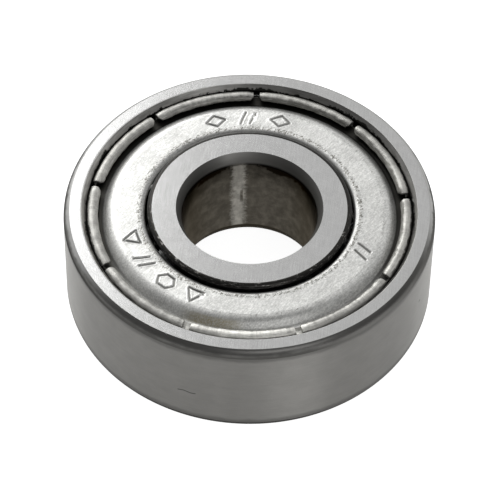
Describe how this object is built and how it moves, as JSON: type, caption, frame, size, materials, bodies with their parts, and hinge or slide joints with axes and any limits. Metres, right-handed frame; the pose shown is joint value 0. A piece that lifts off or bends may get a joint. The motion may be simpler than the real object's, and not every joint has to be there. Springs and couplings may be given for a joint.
{
  "type": "ball bearing",
  "caption": "Shielded deep-groove ball bearing: two steel rings, caged balls that roll between them, and a curled-rim sheet shield on each side.",
  "frame": {"origin": "centre of the bearing: on its axis, half way between its two side faces", "axes": "+Z along the bearing's axis, towards the face shown uppermost; +X through the first ball; +Y completes the right-handed frame"},
  "size_m": [0.022, 0.022, 0.007],
  "materials": {
    "ground_steel": "fine ground satin, lightly worn",
    "polished_steel": "mirror polished",
    "tinned_sheet": "bright plated sheet, finely speckled",
    "cage_steel": "pressed sheet, satin"
  },
  "bodies": {
    "housing_side": {"outer_ring": "ground_steel", "shield_upper": "tinned_sheet", "shield_lower": "tinned_sheet"},
    "shaft_side": {"inner_ring": "ground_steel"},
    "cage": {"cage_upper": "cage_steel", "cage_lower": "cage_steel", "cage_rivet_1": "cage_steel", "cage_rivet_2": "cage_steel", "cage_rivet_3": "cage_steel", "cage_rivet_4": "cage_steel", "cage_rivet_5": "cage_steel", "cage_rivet_6": "cage_steel", "cage_rivet_7": "cage_steel"},
    "rolling_ball_1": {"ball_1": "polished_steel"},
    "rolling_ball_2": {"ball_2": "polished_steel"},
    "rolling_ball_3": {"ball_3": "polished_steel"},
    "rolling_ball_4": {"ball_4": "polished_steel"},
    "rolling_ball_5": {"ball_5": "polished_steel"},
    "rolling_ball_6": {"ball_6": "polished_steel"},
    "rolling_ball_7": {"ball_7": "polished_steel"}
  },
  "joints": [
    {"name": "inner_spin", "type": "hinge", "parent": "housing_side", "child": "shaft_side", "pos_m": [0, 0, 0], "axis": [0, 0, 1], "continuous": true},
    {"name": "cage_orbit", "type": "hinge", "parent": "housing_side", "child": "cage", "pos_m": [0, 0, 0], "axis": [0, 0, 1], "continuous": true},
    {"name": "ball_1_spin", "type": "hinge", "parent": "cage", "child": "rolling_ball_1", "pos_m": [0.0075, 0, 0], "axis": [0, 0, 1], "continuous": true},
    {"name": "ball_2_spin", "type": "hinge", "parent": "cage", "child": "rolling_ball_2", "pos_m": [0.00468, 0.00586, 0], "axis": [0, 0, 1], "continuous": true},
    {"name": "ball_3_spin", "type": "hinge", "parent": "cage", "child": "rolling_ball_3", "pos_m": [-0.00167, 0.00731, 0], "axis": [0, 0, 1], "continuous": true},
    {"name": "ball_4_spin", "type": "hinge", "parent": "cage", "child": "rolling_ball_4", "pos_m": [-0.00676, 0.00325, 0], "axis": [0, 0, 1], "continuous": true},
    {"name": "ball_5_spin", "type": "hinge", "parent": "cage", "child": "rolling_ball_5", "pos_m": [-0.00676, -0.00325, 0], "axis": [0, 0, 1], "continuous": true},
    {"name": "ball_6_spin", "type": "hinge", "parent": "cage", "child": "rolling_ball_6", "pos_m": [-0.00167, -0.00731, 0], "axis": [0, 0, 1], "continuous": true},
    {"name": "ball_7_spin", "type": "hinge", "parent": "cage", "child": "rolling_ball_7", "pos_m": [0.00468, -0.00586, 0], "axis": [0, 0, 1], "continuous": true}
  ],
  "couplings": [
    {"joint": "cage_orbit", "follows": "inner_spin", "ratio": 0.3677},
    {"joint": "ball_1_spin", "follows": "inner_spin", "ratio": -1.7573},
    {"joint": "ball_2_spin", "follows": "inner_spin", "ratio": -1.7573},
    {"joint": "ball_3_spin", "follows": "inner_spin", "ratio": -1.7573},
    {"joint": "ball_4_spin", "follows": "inner_spin", "ratio": -1.7573},
    {"joint": "ball_5_spin", "follows": "inner_spin", "ratio": -1.7573},
    {"joint": "ball_6_spin", "follows": "inner_spin", "ratio": -1.7573},
    {"joint": "ball_7_spin", "follows": "inner_spin", "ratio": -1.7573}
  ]
}
